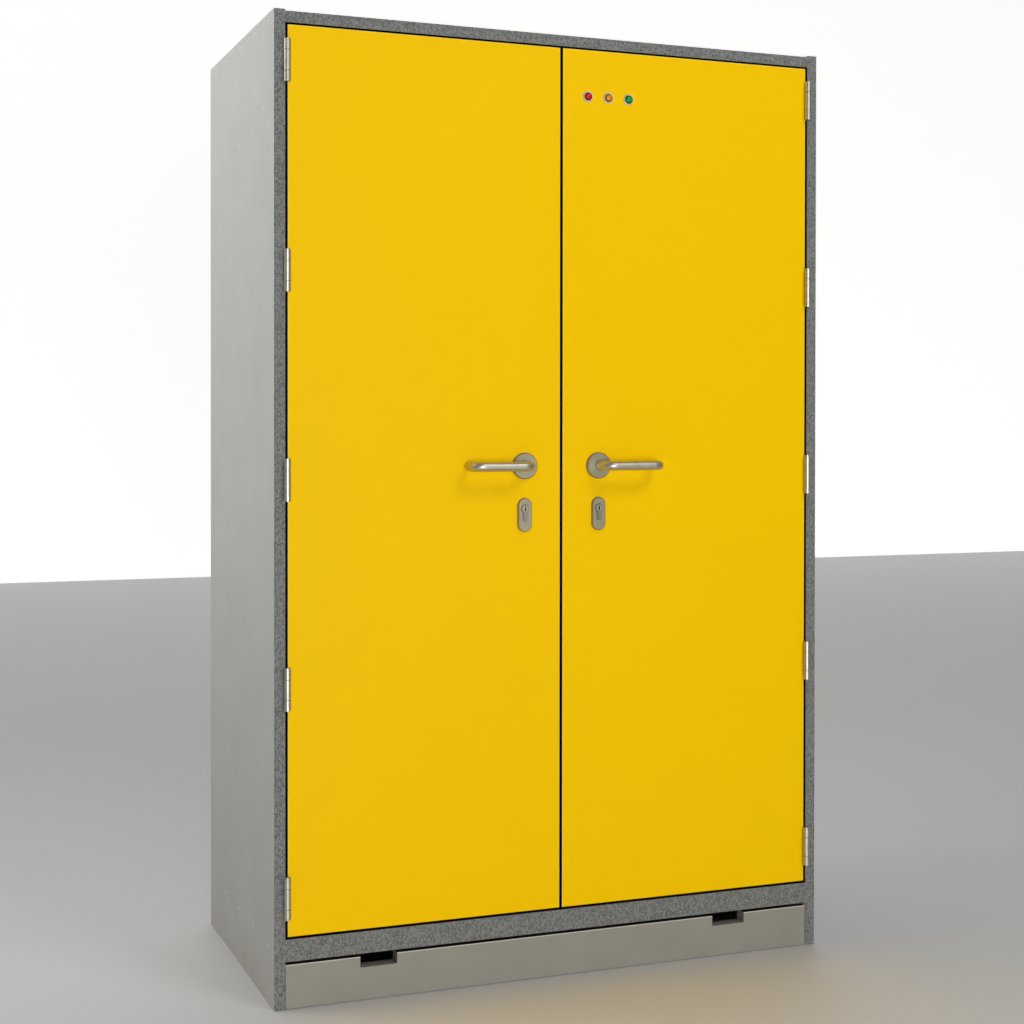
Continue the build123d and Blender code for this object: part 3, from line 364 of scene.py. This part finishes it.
# ---------------------------------------------------------------- indicator lamps
# Chromed bezels with tinted domed lenses: fault, charging and ready. Each lens has painted shade at its rim,
# darker there than in its brighter middle.
rim_r, rim_ramp, rim_share = 0.0058, 0.0022, 0.25
bezel = Material("lamp_chrome", 0.34, 1.0)
bezel.set("Base Color", bezel.mix(bezel.noise(200.0), srgb(240, 240, 238), srgb(248, 248, 246)))
bezel.wear("lamp_bezels")
for colour, dark, light in (
    ("red", srgb(196, 14, 6), srgb(224, 28, 12)),
    ("amber", srgb(226, 118, 0), srgb(244, 148, 8)),
    ("green", srgb(0, 134, 38), srgb(8, 180, 64)),
):
    lens = Material(f"lens_{colour}", 0.22)
    lens.set("Specular IOR Level", 0.2)
    lens_low, lens_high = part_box(f"lamp_lens_{colour}")
    middle = (lens_low + lens_high) / 2
    off_x, off_z = lens.x - middle.x, lens.z - middle.z
    off_axis = (off_x * off_x + off_z * off_z).math("SQRT")
    tint = lens.mix(lens.noise(260.0), dark, light)
    # Painted shade: the lens darkens to a quarter of its colour at the rim.
    rim_shade = tuple(rim_share * channel for channel in dark)
    lens.set("Base Color", lens.mix(off_axis.above(rim_r, rim_ramp), tint, rim_shade))
    lens.set("Coat Weight", 0.12)
    lens.wear(f"lamp_lens_{colour}")

# ---------------------------------------------------------------- floor
# A plain pale matt studio floor under the cabinet, as one flat sheet.
# It is part of the stage, not of the cabinet.
floor_half = 30.0
floor_mesh = bpy.data.meshes.new("studio_floor")
corners = floor_half * np.array([(-1.0, -1.0, 0.0), (1.0, -1.0, 0.0), (1.0, 1.0, 0.0), (-1.0, 1.0, 0.0)])
floor_mesh.from_pydata(corners.tolist(), [], [(0, 1, 2, 3)])
floor = bpy.data.objects.new("studio_floor", floor_mesh)
bpy.context.scene.collection.objects.link(floor)
floor_material = Material("studio_floor", 0.6)
floor_material.set("Base Color", srgb(212, 212, 210))
floor_mesh.materials.append(floor_material.data)

# ---------------------------------------------------------------- backdrop
# A white glowing cloth that hangs far behind, so that the cabinet stands against white.
# It is part of the stage too.
wall_y, wall_top = 9.0, 14.0
wall_mesh = bpy.data.meshes.new("studio_wall")
wall_foot = [(-floor_half, wall_y, 0), (floor_half, wall_y, 0)]
wall_head = [(floor_half, wall_y, wall_top), (-floor_half, wall_y, wall_top)]
wall_mesh.from_pydata(wall_foot + wall_head, [], [(0, 1, 2, 3)])
wall = bpy.data.objects.new("studio_wall", wall_mesh)
bpy.context.scene.collection.objects.link(wall)
wall_material = Material("studio_wall", 0.9)
wall_material.set("Base Color", srgb(230, 230, 228))
wall_material.set("Emission Color", (1.0, 1.0, 1.0))
wall_material.set("Emission Strength", 0.75)
wall_mesh.materials.append(wall_material.data)

# ---------------------------------------------------------------- light
# A pale room with soft rectangular lights: a large one low in front, a small one high in front and to
# the right, and a weak one high at the left.
world = bpy.data.worlds.new("studio")
bpy.context.scene.world = world
world.use_nodes = True
world.node_tree.nodes["Background"].inputs["Color"].default_value = (1.0, 1.0, 1.0, 1.0)
world.node_tree.nodes["Background"].inputs["Strength"].default_value = 0.17


def soft_light(name, place, aim, width, height, power):
    data = bpy.data.lights.new(name, "AREA")
    data.shape, data.size, data.size_y, data.energy = "RECTANGLE", width, height, power
    lamp = bpy.data.objects.new(name, data)
    bpy.context.scene.collection.objects.link(lamp)
    lamp.location = place
    lamp.rotation_euler = (Vector(aim) - Vector(place)).to_track_quat("-Z", "Y").to_euler()


soft_light("front_light", place=(-0.9, -6.6, 0.7), aim=(0, 0, 0.7), width=2.6, height=2.0, power=235)
soft_light("high_light", place=(1.1, -3.3, 3.9), aim=(0, 0, 0.9), width=1.5, height=1.2, power=40)
soft_light("left_top_light", place=(-2.2, 0.3, 2.8), aim=(-0.6, 0, 1.5), width=1.3, height=1.3, power=24)

# ---------------------------------------------------------------- camera
# Eye height a little over a metre, in front of the cabinet and to its left.
# The camera looks almost level, and the lens is shifted down, so the uprights stay upright.
camera_data = bpy.data.cameras.new("camera")
camera_data.lens = 60.06
camera_data.sensor_width = 36.0
camera_data.shift_y = -0.0722
camera = bpy.data.objects.new("camera", camera_data)
bpy.context.scene.collection.objects.link(camera)
camera.location = (-1.3602, front_y - 3.2333, 1.139)
camera.rotation_euler = (radians(90 - 0.53), radians(-0.06), radians(-21.16))
bpy.context.scene.camera = camera
bpy.context.scene.view_settings.view_transform = "Standard"
